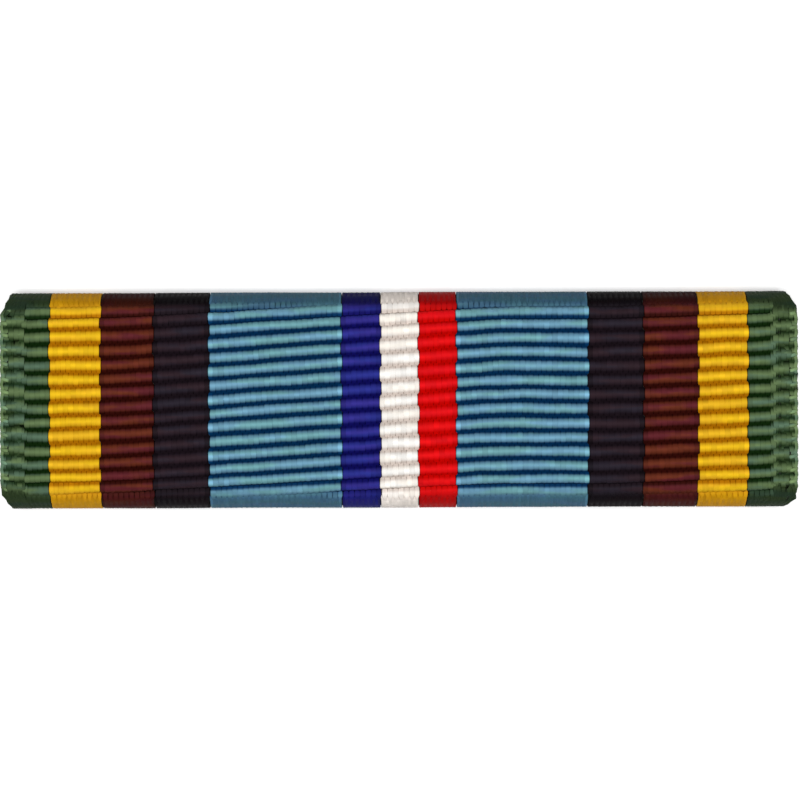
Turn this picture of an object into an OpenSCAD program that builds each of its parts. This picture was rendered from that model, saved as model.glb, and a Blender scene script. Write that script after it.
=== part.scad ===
// Ribbon bar: a striped, ribbed ribbon wrapped round a thin metal back plate. The plate's long
// edges are curled over to the back, so that the bar slides on a mounting rail.
// X runs along the bar, Y is up as worn and Z points out of the face. The bar lies on its back,
// at z = 0, with the origin below its middle.

/* [Bar] */
// Length of the bar, from one selvedge to the other
bar_w = 34.9; // [20:0.1:60]
// Height of the bar, over the cloth
bar_h = 9.5; // [8.5:0.1:14]
// How far each corner is drawn in along the length
corner_w = 0.5; // [0.2:0.05:1]
// How far down the height each corner is drawn in
corner_h = 0.8; // [0.3:0.05:1.5]

/* [Back plate] */
// Thickness of the sheet metal
plate_t = 0.3; // [0.2:0.05:0.45]
// Flat width of each lip, past the end of its curl
lip_w = 0.65; // [0.6:0.05:0.9]
// Clear height in the channel for the mounting rail
rail_clear = 1; // [0.8:0.05:1.3]
// How far the plate stops short of the ribbon at each end
end_inset = 0.3; // [0.1:0.05:0.8]

/* [Ribbon] */
// Thickness of the cloth, over its ribs
cloth_t = 0.55; // [0.45:0.05:0.7]
// Distance from one rib to the next
rib_pitch = 0.617; // [0.5:0.001:0.9]
// Width of a rib at its foot
rib_w = 0.44; // [0.25:0.01:0.48]
// Height of a rib above the groove beside it
rib_relief = 0.12; // [0.06:0.01:0.16]
// Length of each cut end that is tucked in behind its lip
tuck = 0.55; // [0.3:0.05:0.6]
// Clearance between the cloth and the metal
cloth_gap = 0.04; // [0.02:0.01:0.08]

/* [Hidden] */
// The stripes from left to right, each as [warp ends, colour].
ENDS = 0;
COLOUR = 1;
stripes = [
    [15, "#3f6b4a"],
    [16, "#eab41e"],
    [16, "#6b2a1f"],
    [16, "#262028"],
    [40, "#6ea2b8"],
    [11, "#2a2d8c"],
    [11, "#f4efe6"],
    [12, "#e0141c"],
    [39, "#6ea2b8"],
    [17, "#262028"],
    [16, "#6b2a1f"],
    [15, "#eab41e"],
    [15, "#3f6b4a"]
];
function ends_before(n) = n == 0 ? 0 : ends_before(n - 1) + stripes[n - 1][ENDS];
end_w = bar_w / ends_before(len(stripes));
// The stripes are one cloth: each is drawn running a hair's breadth into the next.
stripe_lap = 0.02;

// The layers from the back to the face: the cloth round a lip, the lip, the tucked end, the space
// for the rail, the web, and the cloth on the face.
layer_t = cloth_t + cloth_gap;
bar_t = 3 * layer_t + 2 * plate_t + rail_clear;

// Cloth and metal curl round one axis along each long edge, in a half circle.
curl_r = bar_t / 2;
curl_y = bar_h / 2 - curl_r;
plate_r = curl_r - layer_t;
lip_y = curl_y - lip_w;
lip_z = layer_t + plate_t / 2;

// A rib is a round seen above the groove, and it is rooted a little way into the cloth.
rib_r = (rib_w * rib_w / 4 + rib_relief * rib_relief) / (2 * rib_relief);
rib_root = 0.08;
// Ribs run on round the curl, and stop before they reach what the bar lies on.
rib_last_angle = 165;
rib_count = floor((curl_y + curl_r * PI * rib_last_angle / 180) / rib_pitch + 0.5);

$fn = 96;

// Half of a ring, on the side where x is positive
module half_ring(r_out, r_in) {
    intersection() {
        difference() {
            circle(r_out);
            circle(r_in);
        }
        translate([0, -2 * r_out])
            square([2 * r_out, 4 * r_out]);
    }
}

// A strip from one side to the other, centred on x = 0
module middle_strip(w, z, t) {
    translate([-w / 2, z])
        square([w, t]);
}

// The same shape at both long edges
module both_sides() {
    children();
    mirror([1, 0])
        children();
}

// The plan of the bar, with its corners drawn in. An inset brings every side in.
module plan(inset) {
    x = bar_w / 2 - inset;
    y = bar_h / 2;
    half = [
        [x, y - corner_h],
        [x - corner_w, y],
        [-x + corner_w, y],
        [-x, y - corner_h]
    ];
    polygon(concat(half, -half));
}

// A section in the Y-Z plane, run along the bar from x = from and cut to the plan
module run(from, length, inset) {
    intersection() {
        translate([from, 0, 0])
            rotate([90, 0, 90])
            linear_extrude(length)
            children();
        translate([0, 0, -bar_t])
            linear_extrude(3 * bar_t)
            plan(inset);
    }
}

// The web, and at each long edge a curl and a lip
module plate_section() {
    middle_strip(2 * curl_y, bar_t - layer_t - plate_t, plate_t);
    both_sides() {
        translate([curl_y, curl_r])
            half_ring(plate_r, plate_r - plate_t);
        translate([lip_y, layer_t])
            square([lip_w, plate_t]);
    }
}

// One rib, with its crest at the origin and its root below
module rib() {
    intersection() {
        translate([0, -rib_r])
            circle(rib_r);
        translate([-rib_r, -rib_relief - rib_root])
            square([2 * rib_r, 2 * rib_relief + rib_root]);
    }
}

// Puts a rib at a distance from the middle of the face, along the ridges of the cloth
module along_ridges(distance) {
    if (distance <= curl_y)
        translate([distance, bar_t])
            children();
    else
        translate([curl_y, curl_r])
            rotate(-(distance - curl_y) / curl_r * 180 / PI)
            translate([0, curl_r])
            children();
}

// The cloth as it is wound: over the face, round each curl, over the back of the lip, round the
// lip's edge, and outwards behind the lip. It is flat where the bar lies on it.
module ribbon_section() {
    middle_strip(2 * curl_y, bar_t - cloth_t, cloth_t - rib_relief);
    both_sides() {
        translate([curl_y, curl_r])
            half_ring(curl_r - rib_relief, curl_r - cloth_t);
        translate([lip_y, 0])
            square([lip_w, cloth_t]);
        translate([lip_y, lip_z])
            mirror([1, 0])
            half_ring(lip_z, lip_z - cloth_t);
        translate([lip_y, layer_t + plate_t + cloth_gap])
            square([tuck, cloth_t]);
        for (k = [0 : rib_count - 1])
            along_ridges((k + 0.5) * rib_pitch)
                rib();
    }
}

module back_plate() {
    color("#c9a45a")
        run(-bar_w / 2, bar_w, end_inset)
            plate_section();
}

module ribbon() {
    for (n = [0 : len(stripes) - 1])
        color(stripes[n][COLOUR])
            run(-bar_w / 2 + ends_before(n) * end_w, stripes[n][ENDS] * end_w + stripe_lap, 0)
                ribbon_section();
}

back_plate();
ribbon();
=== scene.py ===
import math

import bpy
import numpy as np
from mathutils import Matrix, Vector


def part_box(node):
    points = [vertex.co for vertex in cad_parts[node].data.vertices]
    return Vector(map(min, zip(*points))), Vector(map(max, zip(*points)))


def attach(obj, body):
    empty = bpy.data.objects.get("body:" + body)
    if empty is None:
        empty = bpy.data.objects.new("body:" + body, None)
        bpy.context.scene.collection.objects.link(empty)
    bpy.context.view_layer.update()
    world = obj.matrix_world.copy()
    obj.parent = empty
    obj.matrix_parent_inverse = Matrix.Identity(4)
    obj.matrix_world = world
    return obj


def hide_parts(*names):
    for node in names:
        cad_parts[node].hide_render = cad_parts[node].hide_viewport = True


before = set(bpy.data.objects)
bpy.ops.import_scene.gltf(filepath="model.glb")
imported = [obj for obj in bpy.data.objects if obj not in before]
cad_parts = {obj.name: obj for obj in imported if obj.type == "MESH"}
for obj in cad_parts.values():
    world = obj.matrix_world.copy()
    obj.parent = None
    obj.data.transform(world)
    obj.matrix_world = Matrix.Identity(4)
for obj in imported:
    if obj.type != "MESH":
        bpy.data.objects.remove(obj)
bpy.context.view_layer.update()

mm = 0.001


# Back plate: one strip of thin brass sheet, rolled at both long edges into a channel that slides on
# a mounting rail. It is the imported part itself. Its finish is that of rolled sheet: a fine grain
# along the bar, cloudy tarnish, and brighter rubbed streaks where the rail slides.
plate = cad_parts["back_plate"]
brass = (0.52, 0.34, 0.11)
rubbed_brass = (0.70, 0.51, 0.22)
tarnished_brass = (0.24, 0.15, 0.06)
brass_roughness = (0.28, 0.46)
most_tarnish = 0.8
most_rubbed = 0.45
# How fine each pattern is, in cycles a metre: the same every way, or along, across and through the
# bar.
tarnish_scale = 420
grain_scale = (60, 9000, 9000)
rubbed_scale = (45, 1400, 1400)
# The part of each pattern's values, from 0 to 1, over which it sets in.
tarnish_span = (0.42, 0.72)
grain_span = (0.3, 0.7)
rubbed_span = (0.58, 0.75)
grain_depth = 0.004 * mm


def new_material(name):
    """An empty material, with its nodes, its links and its shader."""
    material = bpy.data.materials.new(name)
    material.use_nodes = True
    tree = material.node_tree
    return material, tree.nodes, tree.links, tree.nodes["Principled BSDF"]


def noise(nodes, links, vector, scale, detail, roughness=0.5):
    """A noise pattern's value, from 0 to 1. Its scale is one number, or one for each axis."""
    if isinstance(scale, tuple):
        mapping = nodes.new("ShaderNodeMapping")
        mapping.inputs["Scale"].default_value = scale
        links.new(vector, mapping.inputs["Vector"])
        vector = mapping.outputs["Vector"]
        scale = 1
    pattern = nodes.new("ShaderNodeTexNoise")
    pattern.inputs["Scale"].default_value = scale
    pattern.inputs["Detail"].default_value = detail
    pattern.inputs["Roughness"].default_value = roughness
    links.new(vector, pattern.inputs["Vector"])
    return pattern.outputs["Fac"]


def spread(nodes, links, value, span, new_span, smooth=False):
    """A value within one span, spread out over another."""
    ramp = nodes.new("ShaderNodeMapRange")
    ramp.interpolation_type = "SMOOTHSTEP" if smooth else "LINEAR"
    for socket, number in zip(("From Min", "From Max", "To Min", "To Max"), (*span, *new_span)):
        ramp.inputs[socket].default_value = number
    links.new(value, ramp.inputs["Value"])
    return ramp.outputs["Result"]


def blended(nodes, links, share, first, second, way="MIX"):
    """Two colours mixed by a share. A colour is a fixed one or comes from another node."""
    mix = nodes.new("ShaderNodeMix")
    mix.data_type = "RGBA"
    mix.blend_type = way
    # The node has sockets for other types too: inputs 6 and 7 and output 2 are those for colours.
    for socket, colour in zip((mix.inputs[6], mix.inputs[7]), (first, second)):
        if isinstance(colour, tuple):
            socket.default_value = (*colour, 1)
        else:
            links.new(colour, socket)
    if isinstance(share, float):
        mix.inputs[0].default_value = share
    else:
        links.new(share, mix.inputs[0])
    return mix.outputs[2]


def bump(nodes, links, shader, height, strength, depth):
    """Raises the shader's surface by a height from 0 to 1, which stands for a real depth."""
    relief = nodes.new("ShaderNodeBump")
    relief.inputs["Strength"].default_value = strength
    relief.inputs["Distance"].default_value = depth
    links.new(height, relief.inputs["Height"])
    links.new(relief.outputs["Normal"], shader.inputs["Normal"])


def rolled_brass():
    """Satin brass sheet with a rolling grain along X."""
    material, nodes, links, shader = new_material("rolled_brass")
    place = nodes.new("ShaderNodeTexCoord").outputs["Object"]
    clouds = noise(nodes, links, place, tarnish_scale, detail=4, roughness=0.6)
    grain = noise(nodes, links, place, grain_scale, detail=3)
    rubbed = noise(nodes, links, place, rubbed_scale, detail=2)
    tarnish = spread(nodes, links, clouds, tarnish_span, (0, most_tarnish), smooth=True)
    colour = blended(nodes, links, tarnish, brass, tarnished_brass)
    bright = spread(nodes, links, rubbed, rubbed_span, (0, most_rubbed), smooth=True)
    colour = blended(nodes, links, bright, colour, rubbed_brass)
    links.new(colour, shader.inputs["Base Color"])
    links.new(spread(nodes, links, grain, grain_span, brass_roughness), shader.inputs["Roughness"])
    shader.inputs["Metallic"].default_value = 1
    bump(nodes, links, shader, grain, strength=0.25, depth=grain_depth)
    return material


plate.data.materials.clear()
plate.data.materials.append(rolled_brass())


# Ribbon: one length of ribbed, striped ribbon, woven of silky yarn and wound tightly round the plate.
# It lies flat over the face, round the curl at each long edge, flat over the back of the lip, round
# the lip's own edge, and outwards again behind the lip, where its end is cut.
_, ribbon_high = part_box("ribbon")
half_w = ribbon_high.x
bar_t = ribbon_high.z
bar_h = 9.5 * mm
cloth_t = 0.55 * mm
cloth_gap = 0.04 * mm
plate_t = 0.3 * mm
lip_w = 0.65 * mm
tuck = 0.55 * mm
curl_r = bar_t / 2
fold_r = cloth_t + cloth_gap + plate_t / 2
# Where each stretch of the way ends, as a distance u over the ridges from the middle of the face.
face_end = bar_h / 2 - curl_r
curl_end = face_end + math.pi * curl_r
lip_end = curl_end + lip_w
fold_end = lip_end + math.pi * fold_r
cloth_end = fold_end + tuck


def ridge_line(u):
    """The point over the ridges at a distance u from the middle of the face, and the way outwards."""
    far = np.abs(u)
    curl = np.clip((far - face_end) / curl_r, 0, math.pi)
    fold = np.clip((far - lip_end) / fold_r, 0, math.pi)
    y = np.minimum(far, face_end) + curl_r * np.sin(curl)
    y -= np.clip(far - curl_end, 0, lip_w) + fold_r * np.sin(fold)
    y += np.clip(far - fold_end, 0, tuck)
    z = curl_r * (1 + np.cos(curl)) + fold_r * (1 - np.cos(fold))
    side = np.sign(u)
    return y * side, z, np.sin(curl + fold) * side, np.cos(curl + fold)


# The ribs aren't square to the selvedges. A row is a place along the bar, and how far the same rib
# has climbed there above its height at the middle, near the lower edge, on the face and near the
# upper edge, in millimetres.
rib_pitch = 0.616 * mm
middle_rib = -0.025 * mm
PLACE, LOW, FACE, HIGH = range(4)
climb = np.array([
    (-17.45, -0.99, -0.99, -0.93),
    (-11.8, -0.80, -0.83, -0.83),
    (-7.9, -0.52, -0.52, -0.56),
    (0.0, 0.0, 0.0, 0.0),
    (4.6, 0.22, 0.30, 0.31),
    (6.4, 0.21, 0.25, 0.30),
    (9.5, 0.20, 0.23, 0.28),
    (17.45, 0.51, 0.55, 0.63),
]) * mm
climb_heights = np.array([-3.4, 0, 3.6]) * mm
# The climb is averaged over a short stretch, so that no rib has a kink.
climb_stretch = np.linspace(-0.8, 0.8, 5) * mm

# At each selvedge the last ends bind the weft, and push the ribs up by part of a pitch. The step
# from the ribs' own places to the pushed ones is short.
selvedge_w = 1.05 * mm
selvedge_step = 0.15 * mm
left_push = 0.17 * mm
right_push = 0.21 * mm

# No two picks are beaten up alike: each one lies a little off its place, wanders slowly along its
# length, and is pulled about once more at the selvedges. The sizes are standard deviations.
rib_reach = 23
rib_numbers = np.arange(-rib_reach, rib_reach + 1)
places_along = 36
wander_places = np.linspace(-half_w, half_w, places_along)
whole_pick_wander = 0.016 * mm
place_wander = 0.018 * mm
selvedge_wander = 0.015 * mm
pick_random = np.random.default_rng(11)
wander = pick_random.normal(0, whole_pick_wander, (len(rib_numbers), 1))
wander = wander + pick_random.normal(0, place_wander, (len(rib_numbers), places_along))
wander[:, [0, -1]] += pick_random.normal(0, selvedge_wander, (len(rib_numbers), 2))


def rib_place(rib, x):
    """The distance u at which a rib number crosses the place x. Parts of a rib are between ribs."""
    u = rib * rib_pitch + middle_rib
    near = x + climb_stretch
    rises = [np.mean(np.interp(near, climb[:, PLACE], climb[:, column])) for column in (LOW, FACE, HIGH)]
    u = u + np.interp(u, climb_heights, rises)
    here = [np.interp(x, wander_places, row) for row in wander]
    u = u + np.interp(rib, rib_numbers, here)
    into_left = np.clip((selvedge_w - (half_w + x)) / selvedge_step + 0.5, 0, 1)
    into_right = np.clip((selvedge_w - (half_w - x)) / selvedge_step + 0.5, 0, 1)
    return u + left_push * into_left + right_push * into_right


# Each corner is drawn in where the cloth goes round the edge, and takes the cloth beside it along
# within the corner's reach. A row is the side of the bar, the edge, how far the corner is drawn in,
# and how far down the height that goes.
corners = [
    (-1, 1, 0.37 * mm, 1.00 * mm),
    (1, 1, 0.41 * mm, 0.66 * mm),
    (-1, -1, 0.40 * mm, 0.66 * mm),
    (1, -1, 0.50 * mm, 0.39 * mm),
]
corner_reach = 2.2 * mm


def drawn_in(x, y):
    """The place x after the corners are drawn in, at the heights y."""
    shift = np.zeros_like(y)
    for side, edge, inwards, height in corners:
        share = np.clip(1 - (half_w - side * x) / corner_reach, 0, 1)
        down = np.clip((edge * y - (bar_h / 2 - height)) / height, 0, 1)
        shift -= side * inwards * share * down
    return x + shift


def solid_mesh(name, points, faces, material):
    """A smooth mesh object from points and faces, riding with the bar."""
    mesh = bpy.data.meshes.new(name)
    mesh.from_pydata(points, [], faces)
    mesh.validate()
    mesh.polygons.foreach_set("use_smooth", [True] * len(mesh.polygons))
    mesh.materials.append(material)
    piece = bpy.data.objects.new(name, mesh)
    bpy.context.scene.collection.objects.link(piece)
    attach(piece, "root")
    return piece


# Weft: the thick yarn inside the ribs. It runs from selvedge to selvedge, and each pass makes one
# rib. The passes lie so close that they are made as one ribbed sheet, wound as the ribbon is.
weft_rows_a_rib = 6
weft_columns = 40
weft_t = 0.36 * mm
weft_web_t = 0.012 * mm
weft_inset = 0.32 * mm
weft_end_inset = 0.02 * mm
weft_dark = (0.008, 0.010, 0.009)
weft_pale = (0.024, 0.026, 0.022)
twist_scale = (2500, 9000, 9000)
twist_depth = 0.01 * mm


def weft_sheet():
    """The points and faces of the ribbed sheet, closed all round."""
    columns = []
    rows = rib_reach * weft_rows_a_rib
    ribs = np.arange(-rows, rows + 1) / weft_rows_a_rib
    for x in np.linspace(-half_w + weft_inset, half_w - weft_inset, weft_columns + 1):
        u = rib_place(ribs, x)
        first = np.interp(-cloth_end + weft_end_inset, u, ribs)
        last = np.interp(cloth_end - weft_end_inset, u, ribs)
        rib = np.linspace(first, last, len(ribs))
        y, z, out_y, out_z = ridge_line(rib_place(rib, x))
        thick = weft_web_t + (weft_t - weft_web_t) * np.cos(rib * math.pi) ** 2
        sides = []
        for way in (1, -1):
            depth = cloth_t / 2 - way * thick / 2
            sides.append(np.column_stack([
                drawn_in(np.full_like(y, x), y), y - out_y * depth, z - out_z * depth]))
        # A ring runs along the outer side from cut end to cut end, and back along the inner side.
        columns.append(np.concatenate([sides[0], sides[1][::-1]]))
    ring = len(columns[0])
    faces = []
    for column in range(weft_columns):
        here = column * ring
        for n in range(ring):
            after = (n + 1) % ring
            faces.append((here + n, here + after, here + ring + after, here + ring + n))
    # The first and the last ring are closed from side to side, at the selvedges.
    last = weft_columns * ring
    for n in range(ring // 2 - 1):
        faces.append((n, n + 1, ring - 2 - n, ring - 1 - n)[::-1])
        faces.append((last + n, last + n + 1, last + ring - 2 - n, last + ring - 1 - n))
    return np.concatenate(columns).tolist(), faces


def weft_yarn():
    """Dark, dull weft yarn, seen only deep between the warp ends."""
    material, nodes, links, shader = new_material("weft_yarn")
    place = nodes.new("ShaderNodeTexCoord").outputs["Object"]
    twist = noise(nodes, links, place, twist_scale, detail=3)
    links.new(blended(nodes, links, twist, weft_dark, weft_pale), shader.inputs["Base Color"])
    shader.inputs["Roughness"].default_value = 0.9
    shader.inputs["Specular IOR Level"].default_value = 0.1
    bump(nodes, links, shader, twist, strength=0.4, depth=twist_depth)
    return material


weft_points, weft_faces = weft_sheet()
weft = solid_mesh("ribbon_weft", weft_points, weft_faces, weft_yarn())
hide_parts("ribbon")


# Warp: the fine, close ends of silky yarn that run along the ribbon and show on both sides. Odd and
# even ends pass over alternate picks, so each end widens where it floats over a rib and is pinched
# between ribs. A row is a stripe's name, its slot, its width in millimetres, its number of ends, and
# the tone of the ends at its borders, where 1 is that of its other ends.
stripes = [
    ("stripe_01_green", "green_yarn", 2.15, 19, 1.0),
    ("stripe_02_yellow", "yellow_yarn", 2.24, 20, 1.05),
    ("stripe_03_brown", "brown_yarn", 2.32, 20, 0.75),
    ("stripe_04_black", "black_yarn", 2.42, 20, 0.6),
    ("stripe_05_light_blue", "light_blue_yarn", 5.81, 49, 1.4),
    ("stripe_06_ultramarine", "ultramarine_yarn", 1.70, 14, 0.75),
    ("stripe_07_white", "white_yarn", 1.67, 14, 1.0),
    ("stripe_08_scarlet", "scarlet_yarn", 1.66, 14, 0.95),
    ("stripe_09_light_blue", "light_blue_yarn", 5.77, 49, 1.4),
    ("stripe_10_black", "black_yarn", 2.41, 20, 0.6),
    ("stripe_11_brown", "brown_yarn", 2.39, 20, 0.75),
    ("stripe_12_yellow", "yellow_yarn", 2.18, 18, 1.05),
    ("stripe_13_green", "green_yarn", 2.18, 19, 1.0),
]
end_t = 0.08 * mm
# The section of an end, across and outwards: broad and nearly flat on top, as silk spreads out.
end_section = np.array([
    (1, 0), (0.8, 0.86), (0.3, 1), (-0.3, 1), (-0.8, 0.86), (-1, 0), (-0.5, -1), (0.5, -1),
])
end_sides = len(end_section)
# The edges of the broad top are points 1 and 4 of the section, where the surface breaks sharply.
top_edges = (1, 4)
# Rings along an end, in parts of a rib from the middle of each float: closest at the float's tips.
float_rings = (-0.5, -0.43, -0.22, 0.0, 0.22, 0.43, 0.5, 1.0)
# No ring but the last lies closer than this to where the cloth is cut.
least_ring_gap = 0.05 * mm
# How wide an end is in the grooves and how much wider on the ribs, in widths of its place, each to
# either side. The ends at a stripe's borders are narrower, and pushed in by their neighbours.
groove_width = 0.66
float_width = 0.58
border_end_share = 0.85
# A float widens by this power of its height, and a small power gives it full, blunt tips.
float_power = 0.17
# How much thicker an end is where it is pinched than where it is spread out.
pinched_share = 0.4
# In the selvedges some ends stay on top of every pick, and bind them. Where they cross a rib they are
# a little lower than a float, which has the height 1. A row is the side of the bar, how far in from
# the selvedge, how far from there it still holds, and how high the ends stay between the ribs.
binding_height = 0.95
binding_ends = [
    (-1, 0.06 * mm, 0.04 * mm, 0.7),
    (-1, 0.85 * mm, 0.12 * mm, 0.5),
    (1, 0.06 * mm, 0.04 * mm, 0.7),
    (1, 0.57 * mm, 0.07 * mm, 0.35),
    (1, 1.03 * mm, 0.07 * mm, 0.45),
]
# The outermost end is thin, and bulges between the picks' turns, which draw it in.
outer_end_w = 0.1 * mm
outer_end_share = 0.62
outer_end_inset = 0.04 * mm
outer_end_bulge = 0.025 * mm
outer_tone = 1.25
# The looped thread of the selvedge lies over the last ends, and holds them down on the face.
held_down_w = 0.3 * mm
held_down = 0.55
# The ends of the selvedges are less even, and the painted shade in the hollows between their ribs is
# wider but lighter.
selvedge_tone = 1.05
selvedge_depth = 1.35
selvedge_deepest = 0.48
selvedge_unevenness = 0.02 * mm
# Elsewhere too each ring of an end is a little out of place along the end, inwards and sideways, and
# the end is lighter or darker, as a whole and from ring to ring.
end_unevenness = 0.007 * mm
inward_unevenness = 0.002 * mm
sideways_unevenness = 0.003 * mm
end_tone_unevenness = 0.03
ring_tone_unevenness = 0.055
# Round the long edges the ends lie side by side, the ribs are nearly flat, and painted shade darkens
# them, more round the upper edge than round the lower. The angles, round the curl, are where that sets
# in and is full, and where it begins to pass off and is gone. At the selvedges it sets in sooner. The
# floats narrow while the last of their relief goes.
flat_angles = (0.58, 0.82, 2.2, 2.6)
selvedge_sooner = 0.22
flat_relief = 0.12
narrowing_share = 0.25
# Round the long edges each point takes this share of the groove's darker colour, as painted shade.
curl_shade_depth = 0.37

# Each yarn's colour on the ridges, the colour that it varies to, its darker colour deep between the
# ribs, which is painted shade, its silky lustre, and how much of its tone it keeps under the painted
# shade round the upper and round the lower long edge, where more than 1 is painted light.
yarns = {
    "green_yarn": ("#566945", "#4b624f", "#0f2509", 0.15, 0.5, 0.55),
    "yellow_yarn": ("#d4aa17", "#d2a31e", "#9f6600", 0.1, 0.84, 1.0),
    "brown_yarn": ("#5c2818", "#531d23", "#2e0905", 0.1, 0.43, 0.92),
    "black_yarn": ("#291c22", "#231e27", "#181016", 0.1, 0.2, 0.4),
    "light_blue_yarn": ("#648fa6", "#649399", "#022a4d", 0.2, 0.76, 0.99),
    "ultramarine_yarn": ("#252b7d", "#2d287b", "#0c0b53", 0.1, 0.38, 1.0),
    "white_yarn": ("#e5e3df", "#e5dfd6", "#c2b7af", 0.0, 0.91, 1.13),
    "scarlet_yarn": ("#ce0c10", "#c80c14", "#b20200", 0.1, 0.48, 0.7),
}
# How fine the filaments are, from strand to strand, across a strand and along it, how much they
# lighten and darken it, and how rough and how deep they are.
filament_scale = (1, 5, 0.8)
filament_span = (0.25, 0.75)
filament_shade = (0.92, 1.07)
roughness_span = (0.2, 0.8)
yarn_roughness = (0.58, 0.74)
filament_depth = 0.005 * mm
# The dye takes unevenly, in patches that are longer along the ribs than across them.
dye_scale = (500, 2300, 2300)
dye_span = (0.4, 0.62)
# How deep a point is sunk where its colour is still the ridge's, and where it takes all of the groove's
# darker colour, which is painted shade.
groove_shade_span = (0, 0.6)


def yarn_colour(code):
    """The red, green and blue light that a screen colour's code stands for, each from 0 to 1."""
    levels = [int(code[n:n + 2], 16) / 255 for n in (1, 3, 5)]
    return tuple(((v + 0.055) / 1.055) ** 2.4 if v > 0.04 else v / 12.92 for v in levels)


def point_value(nodes, name, output="Fac"):
    """A value that the mesh carries at its points."""
    value = nodes.new("ShaderNodeAttribute")
    value.attribute_name = name
    return value.outputs[output]


def warp_yarn(name, ridge, patch, groove_shade, lustre):
    """Silky look of one warp colour: painted shade between the ribs, with fine filaments and uneven dye.
    """
    material, nodes, links, shader = new_material(name)
    lay = point_value(nodes, "lay", "Vector")
    place = nodes.new("ShaderNodeTexCoord").outputs["Object"]
    filaments = noise(nodes, links, lay, filament_scale, detail=2)
    uneven = noise(nodes, links, place, dye_scale, detail=2)
    patches = spread(nodes, links, uneven, dye_span, (0, 1), smooth=True)
    colour = blended(nodes, links, patches, yarn_colour(ridge), yarn_colour(patch))
    # Painted shade: the deeper a point is sunk between the ribs, the more of the groove's darker colour
    # it takes.
    groove_shade_share = spread(nodes, links, point_value(nodes, "sunk"), groove_shade_span, (0, 1), smooth=True)
    colour = blended(nodes, links, groove_shade_share, colour, yarn_colour(groove_shade))
    shade = spread(nodes, links, filaments, filament_span, filament_shade)
    colour = blended(nodes, links, 1.0, colour, shade, "MULTIPLY")
    colour = blended(nodes, links, 1.0, colour, point_value(nodes, "tone"), "MULTIPLY")
    links.new(colour, shader.inputs["Base Color"])
    roughness = spread(nodes, links, filaments, roughness_span, yarn_roughness)
    links.new(roughness, shader.inputs["Roughness"])
    shader.inputs["Metallic"].default_value = lustre
    shader.inputs["Specular IOR Level"].default_value = 0.04
    bump(nodes, links, shader, filaments, strength=0.3, depth=filament_depth)
    return material


yarn_materials = {}
curl_shade_tones = {}
for slot, (ridge, patch, groove_shade, lustre, upper, lower) in yarns.items():
    yarn_materials[slot] = warp_yarn(slot, ridge, patch, groove_shade, lustre)
    curl_shade_tones[slot] = (upper, lower)


def pulled_flat(u, from_edge):
    """How far the ribs are pulled flat, from 0 to 1, where the cloth turns away round a long edge."""
    sets_in, full, passes, gone = flat_angles
    sooner = selvedge_sooner if from_edge < selvedge_w else 0
    turned = (np.abs(u) - face_end) / curl_r
    return np.interp(turned, (sets_in - sooner, full - sooner, passes, gone), (0, 1, 1, 0))


def curl_shade(slot, u, flat):
    """Painted shade round the long edges: how much of its tone a yarn keeps at the distances u, all of
    it where it isn't pulled flat.
    """
    upper, lower = curl_shade_tones[slot]
    return 1 + (np.where(u > 0, upper, lower) - 1) * flat


def end_rings(number, x):
    """The rib number and distance u of an end's rings, and its swing from 1 over a pick to -1 under."""
    floats = np.arange(-rib_reach + 1 + number % 2, rib_reach, 2)
    ribs = (floats[:, None] + np.array(float_rings)).ravel()
    u = rib_place(ribs, x)
    inside = np.abs(u) < cloth_end - least_ring_gap
    tips = np.interp([-cloth_end, cloth_end], u, ribs)
    ribs = np.concatenate([tips[:1], ribs[inside], tips[1:]])
    u = np.concatenate([[-cloth_end], u[inside], [cloth_end]])
    swing = np.cos((ribs - floats[0]) * math.pi)
    from_edge = half_w - abs(x)
    for side, place, reach, lowest in binding_ends:
        if side * x > 0 and abs(from_edge - place) < reach:
            swing = lowest + (binding_height - lowest) * np.abs(swing)
    return ribs, u, swing


def end_line(u, lift):
    """The line of an end lifted over the cloth's middle, the way up from it, and its rings' spacing."""
    y, z, out_y, out_z = ridge_line(u)
    depth = cloth_t / 2 - lift
    y, z = y - out_y * depth, z - out_z * depth
    run_y, run_z = np.gradient(y), np.gradient(z)
    spacing = np.hypot(run_y, run_z)
    return y, z, -run_z / spacing, run_y / spacing, spacing


end_random = np.random.default_rng(5)
section_across, section_out = end_section.T
rise = cloth_t / 2 - end_t / 2
# A strand's points carry three values. Sunk is how deep a point is, from 0 on a ridge to 1 between
# the ribs, and sets how much painted shade its colour takes. Lay is its place in the filaments'
# pattern: the strand's own number, then across the strand, then along it. Tone is what its colour is
# multiplied by, and carries the painted shade round the long edges.
end_lay_step = 3.7


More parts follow.
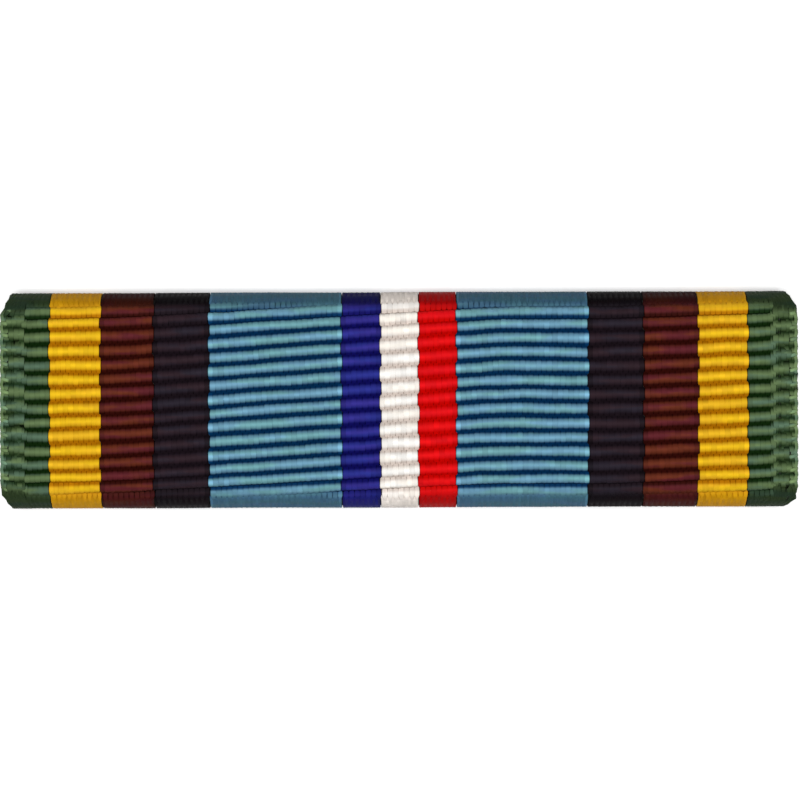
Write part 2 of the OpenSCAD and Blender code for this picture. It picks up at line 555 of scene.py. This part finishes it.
def warp_end(number, x, end_w, slot):
    """One end at x, counted from the left selvedge: its points by ring and side, sunk, lay and tone."""
    from_edge = half_w - abs(x)
    ribs, u, swing = end_rings(number, x)
    flat = pulled_flat(u, from_edge)
    # The tone carries the painted shade round the long edges.
    tone = curl_shade(slot, u, flat) * end_random.normal(1, end_tone_unevenness)
    tone *= end_random.normal(1, ring_tone_unevenness, len(u))
    unevenness, height, depth_share, deepest, bulge = end_unevenness, rise, 1, 1, 0
    if from_edge < selvedge_w:
        unevenness, depth_share, deepest = selvedge_unevenness, selvedge_depth, selvedge_deepest
        tone *= selvedge_tone
    if from_edge < held_down_w:
        height = rise * (held_down + (1 - held_down) * flat)
    if from_edge < outer_end_w:
        end_w *= outer_end_share
        bulge = -np.sign(x) * (outer_end_inset + outer_end_bulge * np.cos(2 * math.pi * ribs))
        tone *= outer_tone
    u = u + unevenness * end_random.normal(0, 1, len(u))
    spread_out = np.abs(swing) ** float_power * np.minimum((1 - flat) / narrowing_share, 1)
    swing = swing + (1 - flat_relief * (1 - np.abs(swing)) - swing) * flat
    lift = height * swing - np.abs(end_random.normal(0, inward_unevenness, len(u)))
    half_across = end_w * (groove_width + float_width * spread_out)
    half_out = end_t / 2 * (1 + pinched_share * (1 - spread_out))
    y, z, up_y, up_z, spacing = end_line(u, lift)
    middle = drawn_in(np.full_like(y, x) + bulge, y)
    middle += end_random.normal(0, sideways_unevenness, len(u))
    points = np.stack([
        middle[:, None] + half_across[:, None] * section_across,
        y[:, None] + (half_out * up_y)[:, None] * section_out,
        z[:, None] + (half_out * up_z)[:, None] * section_out,
    ], axis=2)
    level = (lift[:, None] + half_out[:, None] * section_out) / np.reshape(height, (-1, 1))
    # Painted shade between the ribs: the deeper a point lies, the higher its sunk value.
    sunk = np.clip(depth_share * (1 + end_t / 2 / rise - np.abs(level)), 0, deepest)
    # Round the long edges the painted shade is set to one share, whatever the depth.
    sunk = sunk + (curl_shade_depth - sunk) * flat[:, None]
    along = np.cumsum(spacing) / mm
    lay = np.stack([
        np.full_like(level, number * end_lay_step),
        np.broadcast_to(section_across, level.shape),
        np.broadcast_to(along[:, None], level.shape),
    ], axis=2)
    return points, sunk, lay, np.broadcast_to(tone[:, None], level.shape)


def yarn_piece(name, slot, strands):
    """One piece of many strands. A strand is its points by ring and side, sunk, lay and tone."""
    faces = []
    count = 0
    for points, *_ in strands:
        rings, sides = points.shape[:2]
        ring, side = np.meshgrid(np.arange(rings - 1), np.arange(sides), indexing="ij")
        after = (side + 1) % sides
        quad = [ring * sides + side, ring * sides + after,
                (ring + 1) * sides + after, (ring + 1) * sides + side]
        faces += (np.stack(quad, axis=2).reshape(-1, 4) + count).tolist()
        # One face closes each tip of the strand.
        faces.append(list(range(count + sides - 1, count - 1, -1)))
        tip = count + (rings - 1) * sides
        faces.append(list(range(tip, tip + sides)))
        count += rings * sides
    points, sunk, lay, tone = (np.concatenate([strand[part].reshape(-1, size) for strand in strands])
                               for part, size in enumerate((3, 1, 3, 1)))
    piece = solid_mesh(name, points.tolist(), faces, yarn_materials[slot])
    attributes = piece.data.attributes
    attributes.new("sunk", "FLOAT", "POINT").data.foreach_set("value", sunk.ravel())
    attributes.new("tone", "FLOAT", "POINT").data.foreach_set("value", tone.ravel())
    attributes.new("lay", "FLOAT_VECTOR", "POINT").data.foreach_set("vector", lay.ravel())
    return piece


def warp_stripe(name, slot, first_end, left, width, ends, border_tone):
    """One stripe: its ends, joined in one piece."""
    strands = []
    for n in range(ends):
        x = left + (n + 0.5) * width / ends
        end_w = width / ends
        own_tone = 1
        if n in (0, ends - 1) and half_w - abs(x) > selvedge_w:
            inwards = 1 if n == 0 else -1
            x += inwards * end_w * (1 - border_end_share) * (groove_width + float_width)
            end_w *= border_end_share
            own_tone = border_tone
        points, sunk, lay, tone = warp_end(first_end + n, x, end_w, slot)
        strands.append((points, sunk, lay, tone * own_tone))
    piece = yarn_piece(name, slot, strands)
    # An edge along an end joins the same point of two sections.
    mesh = piece.data
    edges = np.zeros(2 * len(mesh.edges), dtype=int)
    mesh.edges.foreach_get("vertices", edges)
    first, second = edges.reshape(-1, 2).T % end_sides
    breaks = (first == second) & np.isin(first, top_edges)
    mesh.attributes.new("sharp_edge", "BOOLEAN", "EDGE").data.foreach_set("value", breaks)
    return piece


ends_before = 0
left = -half_w
for name, slot, width, ends, border_tone in stripes:
    warp_stripe(name, slot, ends_before, left, width * mm, ends, border_tone)
    ends_before += ends
    left += width * mm


# Selvedge threads: at each side a fine green thread loops round the edge of the cloth once for
# each pick, and locks the pick's turn. Its loops make the light, scalloped rim.
thread_r = 0.1 * mm
thread_sides = 6
# A loop turns by this angle to either side of the selvedge, lies this far in from it, reaches in
# further, and slants by this part of a rib.
loop_steps = 13
loop_turn = math.radians(115)
loop_inset = 0.08 * mm
loop_reach = 0.2 * mm
loop_slant = 0.15
loop_lay_step = 5.3
# No loop comes closer than this to where the cloth is cut.
least_loop_gap = 0.15 * mm
thread_tone = 1.7
# Loops differ in how far they reach in, where they lie, in parts of a rib, and in tone.
reach_unevenness = 0.08
place_unevenness = 0.05
loop_tone_unevenness = 0.15
thread_random = np.random.default_rng(29)


def thread_loop(side, rib):
    """One loop, from the outer side of the cloth round the selvedge to the inner side."""
    turn = np.linspace(loop_turn, -loop_turn, loop_steps)
    reach = loop_reach * thread_random.normal(1, reach_unevenness)
    x = half_w - loop_inset - reach * (1 - np.cos(turn))
    ribs = rib + thread_random.normal(0, place_unevenness) - loop_slant * turn / loop_turn
    u = rib_place(ribs, side * half_w)
    y, z, out_y, out_z = ridge_line(u)
    depth = cloth_t / 2 - (cloth_t / 2 - thread_r) * np.sin(turn)
    line = np.stack([drawn_in(side * x, y), y - out_y * depth, z - out_z * depth], axis=1)
    run = np.gradient(line, axis=0)
    run /= np.linalg.norm(run, axis=1)[:, None]
    along_rib = np.stack([np.zeros_like(out_y), out_z, -out_y], axis=1)
    beside = along_rib - run * np.sum(along_rib * run, axis=1)[:, None]
    beside /= np.linalg.norm(beside, axis=1)[:, None]
    outwards = np.cross(run, beside)
    around = np.arange(thread_sides) * 2 * math.pi / thread_sides
    points = (line[:, None] + thread_r * np.cos(around)[None, :, None] * beside[:, None]
              + thread_r * np.sin(around)[None, :, None] * outwards[:, None])
    shape = points.shape[:2]
    lay = np.stack([
        np.full(shape, rib * loop_lay_step + side),
        np.broadcast_to(np.cos(around), shape),
        np.broadcast_to(turn[:, None], shape),
    ], axis=2)
    own_tone = thread_tone * thread_random.normal(1, loop_tone_unevenness)
    # The loops take the same painted shade round the long edges.
    tone = np.broadcast_to(own_tone * curl_shade("green_yarn", u, pulled_flat(u, 0))[:, None], shape)
    return points, np.zeros(shape), lay, tone


def selvedge_thread(name, side):
    """All the loops of one selvedge."""
    places = rib_place(rib_numbers, side * half_w)
    inside = np.abs(places) < cloth_end - least_loop_gap
    return yarn_piece(name, "green_yarn", [thread_loop(side, rib) for rib in rib_numbers[inside]])


selvedge_thread("selvedge_thread_left", -1)
selvedge_thread("selvedge_thread_right", 1)


# Studio: a plain pale floor that the bar lies on, one large soft light overhead, and a weak fill
# from all round. Sizes and places are in metres.
floor_size = 1.5
floor_shade = (0.84, 0.84, 0.84)
floor_tint = (0.88, 0.88, 0.88)
floor_scale = 9
light_place = (0.0, -0.03, 0.9)
light_size = 0.25
light_power = 10.0
fill_strength = 0.1


def studio_floor():
    """A wide, flat floor with a faint unevenness in its finish."""
    cells = 6
    ticks = np.linspace(-floor_size, floor_size, cells + 1)
    points = [(x, y, 0) for y in ticks for x in ticks]
    across = cells + 1
    faces = [(n, n + 1, n + across + 1, n + across)
             for row in range(cells) for n in range(row * across, row * across + cells)]
    mesh = bpy.data.meshes.new("studio_floor")
    mesh.from_pydata(points, [], faces)
    floor = bpy.data.objects.new("studio_floor", mesh)
    bpy.context.scene.collection.objects.link(floor)
    material, nodes, links, shader = new_material("pale_floor")
    place = nodes.new("ShaderNodeTexCoord").outputs["Object"]
    clouds = noise(nodes, links, place, floor_scale, detail=3)
    links.new(blended(nodes, links, clouds, floor_shade, floor_tint), shader.inputs["Base Color"])
    shader.inputs["Roughness"].default_value = 0.9
    shader.inputs["Specular IOR Level"].default_value = 0.1
    mesh.materials.append(material)


def area_light(name, place, size, power):
    """A square soft light that faces the bar."""
    lamp = bpy.data.lights.new(name, "AREA")
    lamp.size = size
    lamp.energy = power
    light = bpy.data.objects.new(name, lamp)
    light.location = place
    light.rotation_mode = "QUATERNION"
    light.rotation_quaternion = light.location.to_track_quat("Z", "Y")
    bpy.context.scene.collection.objects.link(light)


studio_floor()
area_light("overhead_light", light_place, light_size, light_power)
world = bpy.data.worlds.new("studio")
world.use_nodes = True
fill = world.node_tree.nodes["Background"]
fill.inputs["Color"].default_value = (1, 1, 1, 1)
fill.inputs["Strength"].default_value = fill_strength
bpy.context.scene.world = world
bpy.context.scene.view_settings.view_transform = "Standard"


# Camera: straight above the face, as the picture was taken, with the bar's long side across. Its
# height and place follow from the picture's size and the bar's length and middle in it, in pixels.
picture_px = 800
bar_px = 797.5
bar_middle_px = (399.0, 399.8)
bar_tilt = math.radians(0.17)
lens = 150
sensor = 36
ridge_level = bar_t - cloth_t / 2
px_size = 2 * half_w / bar_px
shown_w = px_size * picture_px
camera_data = bpy.data.cameras.new("camera")
camera_data.lens = lens
camera_data.sensor_width = sensor
camera_data.clip_start = 0.01
camera = bpy.data.objects.new("camera", camera_data)
camera.location = (
    (picture_px / 2 - bar_middle_px[0]) * px_size,
    (bar_middle_px[1] - picture_px / 2) * px_size,
    ridge_level + shown_w * lens / sensor,
)
camera.rotation_euler = (0, 0, -bar_tilt)
bpy.context.scene.collection.objects.link(camera)
bpy.context.scene.camera = camera
